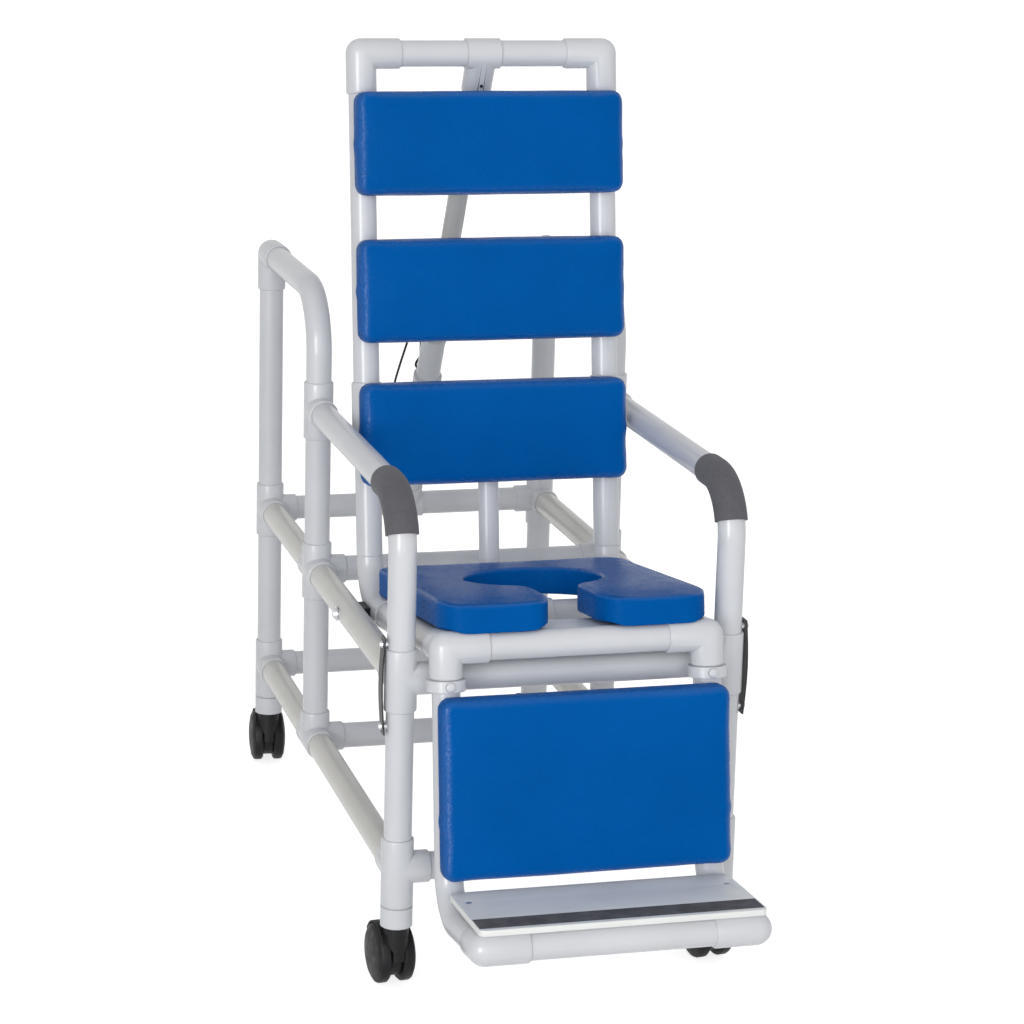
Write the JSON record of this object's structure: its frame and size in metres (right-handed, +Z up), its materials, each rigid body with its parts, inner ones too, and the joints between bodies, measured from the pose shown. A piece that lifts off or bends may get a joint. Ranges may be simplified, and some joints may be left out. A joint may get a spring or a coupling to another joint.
{
  "type": "tilting shower chair",
  "caption": "Tilt-in-space shower chair: pipe frame on twin-wheel casters, open-front seat, padded back and calf rest, footrest and telescoping rear strut.",
  "frame": {"origin": "on the floor, under the middle of the chair's bounding box", "axes": "-Y is the way the sitter faces, +Z is up and +X is at the sitter's left hand"},
  "size_m": [0.5778, 1.4574, 1.3706],
  "materials": {
    "pvc": "glossy white moulded plastic",
    "pvc_rail": "glossy white pipe, a little warmer",
    "vinyl": "glossy royal blue vinyl",
    "foam": "matt dark grey foam",
    "nylon": "matt black nylon",
    "caster": "satin black moulding",
    "wheel": "satin black wheel",
    "strap": "black webbing",
    "panel": "smooth pale sheet",
    "grip_strip": "matt black gritty tape",
    "steel": "bright zinc-plated steel"
  },
  "bodies": {
    "base_frame": {"rear_post_left": "pvc", "rear_post_right": "pvc", "mid_post_left": "pvc", "mid_post_right": "pvc", "arm_tube_left": "pvc", "arm_tube_right": "pvc", "push_handle_left": "pvc", "push_handle_right": "pvc", "side_rails_left": "pvc_rail", "side_rails_right": "pvc_rail", "base_crossbars": "pvc", "rear_fittings_left": "pvc", "rear_fittings_right": "pvc", "mid_fittings_left": "pvc", "mid_fittings_right": "pvc", "front_fittings_left": "pvc", "front_fittings_right": "pvc", "arm_grips": "foam", "side_straps": "strap", "base_hardware": "steel", "pivot_spacers": "nylon"},
    "tilt_frame": {"upright_left": "pvc", "upright_right": "pvc", "back_bars": "pvc", "back_fittings_left": "pvc", "back_fittings_right": "pvc", "back_centre_fittings": "pvc", "seat_rails": "pvc_rail", "seat_bars": "pvc", "seat_fittings_left": "pvc", "seat_fittings_right": "pvc", "seat_board": "panel", "seat_cushion": "vinyl", "back_pad_upper": "vinyl", "back_pad_middle": "vinyl", "back_pad_lower": "vinyl", "calf_pad": "vinyl", "footrest_frame": "pvc", "foot_plate": "panel", "foot_strip": "grip_strip", "tilt_hardware": "steel"},
    "strut_outer": {"strut_sleeve": "pvc_rail", "gas_rod": "steel", "release_cable": "nylon"},
    "strut_inner": {"strut_tube": "pvc_rail", "gas_cylinder": "steel"},
    "strut_top": {"strut_head": "pvc"},
    "lever": {"release_lever": "nylon"},
    "caster_front_left": {"caster_front_left": "caster"},
    "wheel_front_left_outer": {"wheel_front_left_outer": "wheel"},
    "wheel_front_left_inner": {"wheel_front_left_inner": "wheel"},
    "caster_front_right": {"caster_front_right": "caster"},
    "wheel_front_right_outer": {"wheel_front_right_outer": "wheel"},
    "wheel_front_right_inner": {"wheel_front_right_inner": "wheel"},
    "caster_rear_left": {"caster_rear_left": "caster"},
    "wheel_rear_left_outer": {"wheel_rear_left_outer": "wheel"},
    "wheel_rear_left_inner": {"wheel_rear_left_inner": "wheel"},
    "caster_rear_right": {"caster_rear_right": "caster"},
    "wheel_rear_right_outer": {"wheel_rear_right_outer": "wheel"},
    "wheel_rear_right_inner": {"wheel_rear_right_inner": "wheel"}
  },
  "joints": [
    {"name": "tilt", "type": "hinge", "parent": "base_frame", "child": "tilt_frame", "pos_m": [0, -0.03646, 0.484], "axis": [-1, 0, 0], "range_deg": [0, 22]},
    {"name": "strut_swing", "type": "hinge", "parent": "base_frame", "child": "strut_outer", "pos_m": [0, 0.65354, 0.484], "axis": [-1, 0, 0], "range_deg": [0, 15.6]},
    {"name": "strut_slide", "type": "slide", "parent": "strut_outer", "child": "strut_inner", "axis": [0, 0.4796, -0.8775], "range_m": [0, 0.2445]},
    {"name": "strut_top_swing", "type": "hinge", "parent": "tilt_frame", "child": "strut_top", "pos_m": [0, 0.18238, 1.34612], "axis": [-1, 0, 0], "range_deg": [-6.5, 0]},
    {"name": "lever_press", "type": "hinge", "parent": "strut_outer", "child": "lever", "pos_m": [0, 0.54366, 0.76013], "axis": [1, 0, 0], "range_deg": [0, 14], "stiffness_Nm_per_rad": 0.6, "springref_deg": -11.46},
    {"name": "swivel_front_left", "type": "hinge", "parent": "base_frame", "child": "caster_front_left", "pos_m": [-0.253, -0.39146, 0.1], "axis": [0, 0, 1], "continuous": true},
    {"name": "spin_front_left_outer", "type": "hinge", "parent": "caster_front_left", "child": "wheel_front_left_outer", "pos_m": [-0.25544, -0.36356, 0.0455], "axis": [0.9962, 0.0872, 0], "continuous": true},
    {"name": "spin_front_left_inner", "type": "hinge", "parent": "caster_front_left", "child": "wheel_front_left_inner", "pos_m": [-0.25544, -0.36356, 0.0455], "axis": [0.9962, 0.0872, 0], "continuous": true},
    {"name": "swivel_front_right", "type": "hinge", "parent": "base_frame", "child": "caster_front_right", "pos_m": [0.253, -0.39146, 0.1], "axis": [0, 0, 1], "continuous": true},
    {"name": "spin_front_right_outer", "type": "hinge", "parent": "caster_front_right", "child": "wheel_front_right_outer", "pos_m": [0.24959, -0.36367, 0.0455], "axis": [0.9925, 0.1219, 0], "continuous": true},
    {"name": "spin_front_right_inner", "type": "hinge", "parent": "caster_front_right", "child": "wheel_front_right_inner", "pos_m": [0.24959, -0.36367, 0.0455], "axis": [0.9925, 0.1219, 0], "continuous": true},
    {"name": "swivel_rear_left", "type": "hinge", "parent": "base_frame", "child": "caster_rear_left", "pos_m": [-0.253, 0.65354, 0.1], "axis": [0, 0, 1], "continuous": true},
    {"name": "spin_rear_left_outer", "type": "hinge", "parent": "caster_rear_left", "child": "wheel_rear_left_outer", "pos_m": [-0.25056, 0.68144, 0.0455], "axis": [0.9962, -0.0872, 0], "continuous": true},
    {"name": "spin_rear_left_inner", "type": "hinge", "parent": "caster_rear_left", "child": "wheel_rear_left_inner", "pos_m": [-0.25056, 0.68144, 0.0455], "axis": [0.9962, -0.0872, 0], "continuous": true},
    {"name": "swivel_rear_right", "type": "hinge", "parent": "base_frame", "child": "caster_rear_right", "pos_m": [0.253, 0.65354, 0.1], "axis": [0, 0, 1], "continuous": true},
    {"name": "spin_rear_right_outer", "type": "hinge", "parent": "caster_rear_right", "child": "wheel_rear_right_outer", "pos_m": [0.25544, 0.68144, 0.0455], "axis": [0.9962, -0.0872, 0], "continuous": true},
    {"name": "spin_rear_right_inner", "type": "hinge", "parent": "caster_rear_right", "child": "wheel_rear_right_inner", "pos_m": [0.25544, 0.68144, 0.0455], "axis": [0.9962, -0.0872, 0], "continuous": true}
  ],
  "couplings": [
    {"joint": "strut_swing", "follows": "tilt", "ratio": 0.7064},
    {"joint": "strut_slide", "follows": "tilt", "m_per_rad": 0.63636},
    {"joint": "strut_top_swing", "follows": "tilt", "ratio": -0.2936}
  ]
}
